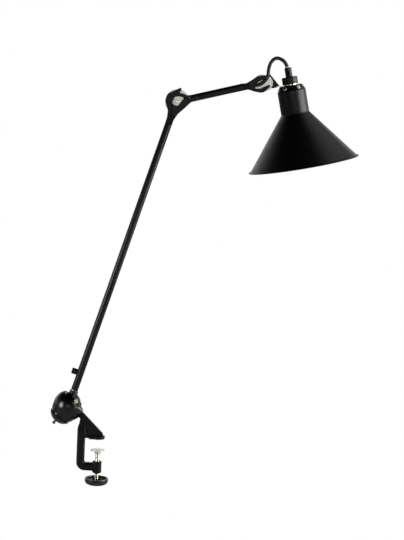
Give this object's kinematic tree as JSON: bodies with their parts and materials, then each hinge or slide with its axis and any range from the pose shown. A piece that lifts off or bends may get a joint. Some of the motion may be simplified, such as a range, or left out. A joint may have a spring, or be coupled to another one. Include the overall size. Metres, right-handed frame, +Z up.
{
  "type": "architect lamp",
  "caption": "Clamp-on architect lamp: ball-jointed tube arm, tilting elbow and short arm, conical shade that tilts on a disc joint.",
  "frame": {"origin": "on the clamp screw's axis, at the underside of the upper jaw pad, which rests on the table", "axes": "+Z up, +X out over the table, +Y away from the side that the picture shows"},
  "size_m": [0.4182, 0.156, 0.6212],
  "materials": {
    "black_cast": "satin black enamel on a casting",
    "black_dome": "gloss black enamel",
    "pad_rubber": "thin black rubber",
    "steel_screws": "zinc-plated steel",
    "nickel": "bright nickel plate",
    "friction_plastic": "dull white plastic",
    "knob_black": "moulded black",
    "turned_steel": "turned steel",
    "black_tube": "satin black enamel on steel tube",
    "black_fittings": "satin black enamel on pressed steel",
    "inlet_black": "black insulating bush",
    "lead_black": "black sheath",
    "grip_white": "white insulating bush",
    "cover_black": "gloss black enamel",
    "porcelain": "glazed white porcelain",
    "brass_parts": "plain brass",
    "shade_enamel": "gloss black outside, white enamel inside",
    "bulb_cap": "rolled aluminium cap",
    "opal_glass": "opal glass globe"
  },
  "bodies": {
    "clamp": {"clamp_frame": "black_cast", "upper_jaw_pad": "pad_rubber", "socket_cover": "black_dome", "socket_cover_screws": "steel_screws", "socket_end_cap": "black_dome", "friction_pad": "friction_plastic"},
    "pad": {"pressure_pad": "nickel", "pad_retainer": "steel_screws"},
    "screw": {"clamp_screw": "nickel", "clamp_knob": "knob_black", "knob_nut": "steel_screws"},
    "tension": {"tension_screw": "nickel"},
    "ball": {"arm_ball": "nickel", "swivel_screw": "steel_screws"},
    "long_arm": {"tube_spigot": "turned_steel", "long_tube": "black_tube", "cord_inlet": "black_tube", "inlet_bush": "inlet_black", "lower_lead": "lead_black", "elbow_lower_yoke": "black_fittings", "elbow_bolt": "nickel", "elbow_spring_washer": "steel_screws", "elbow_nut": "nickel", "elbow_friction_washer": "friction_plastic", "elbow_lead": "lead_black"},
    "elbow": {"elbow_disc": "nickel", "elbow_disc_rivets": "nickel", "elbow_upper_yoke": "black_fittings", "elbow_swivel_ring": "nickel"},
    "short_arm": {"short_tube": "black_tube", "forearm_screw": "steel_screws", "middle_lead": "lead_black", "head_ferrule_ring": "nickel", "head_cage": "black_fittings", "head_bolt": "nickel", "head_spring_washer": "steel_screws", "head_nut": "nickel", "head_friction_washer": "friction_plastic", "head_lead": "lead_black"},
    "lamp_head": {"head_disc": "nickel", "head_yoke": "black_fittings", "head_yoke_rivets": "nickel", "head_bracket": "nickel", "holder_collar": "black_fittings", "collar_screw": "steel_screws", "cord_grip": "black_fittings", "grip_ring": "grip_white", "holder_nipple": "steel_screws", "nipple_nut": "steel_screws", "holder_cover": "cover_black", "cover_screws": "nickel", "lampholder": "porcelain", "lampholder_shell": "brass_parts", "lampholder_contacts": "brass_parts", "shade_ring": "porcelain", "shade": "shade_enamel", "bulb_base": "bulb_cap", "bulb_glass": "opal_glass", "holder_lead": "lead_black"}
  },
  "joints": [
    {"name": "pad_travel", "type": "slide", "parent": "clamp", "child": "pad", "axis": [0, 0, 1], "range_m": [-0.0115, 0.0105]},
    {"name": "screw_turn", "type": "hinge", "parent": "pad", "child": "screw", "pos_m": [0, 0, -0.021], "axis": [0, 0, 1], "range_deg": [-4141, 3781]},
    {"name": "tension_turn", "type": "hinge", "parent": "clamp", "child": "tension", "pos_m": [-0.05625, 0, 0.03025], "axis": [0.6225, 0, 0.7826], "range_deg": [-180, 180]},
    {"name": "arm_tilt", "type": "hinge", "parent": "clamp", "child": "ball", "pos_m": [-0.04184, 0, 0.05079], "axis": [0, 1, 0], "range_deg": [-14, 60]},
    {"name": "arm_swivel", "type": "hinge", "parent": "ball", "child": "long_arm", "pos_m": [-0.04184, 0, 0.05079], "axis": [0.2924, 0, 0.9563], "range_deg": [-170, 170]},
    {"name": "elbow_tilt", "type": "hinge", "parent": "long_arm", "child": "elbow", "pos_m": [0.09212, 0, 0.48484], "axis": [0, 1, 0], "range_deg": [-38, 58], "deforming": ["elbow_lead"]},
    {"name": "forearm_roll", "type": "hinge", "parent": "elbow", "child": "short_arm", "pos_m": [0.12108, 0, 0.49266], "axis": [0.9655, 0, 0.2605], "range_deg": [-170, 170]},
    {"name": "head_tilt", "type": "hinge", "parent": "short_arm", "child": "lamp_head", "pos_m": [0.20836, 0, 0.51621], "axis": [0, 1, 0], "range_deg": [-90, 50], "deforming": ["head_lead"]}
  ],
  "couplings": [
    {"joint": "screw_turn", "follows": "pad_travel", "rad_per_m": 6283.2}
  ]
}
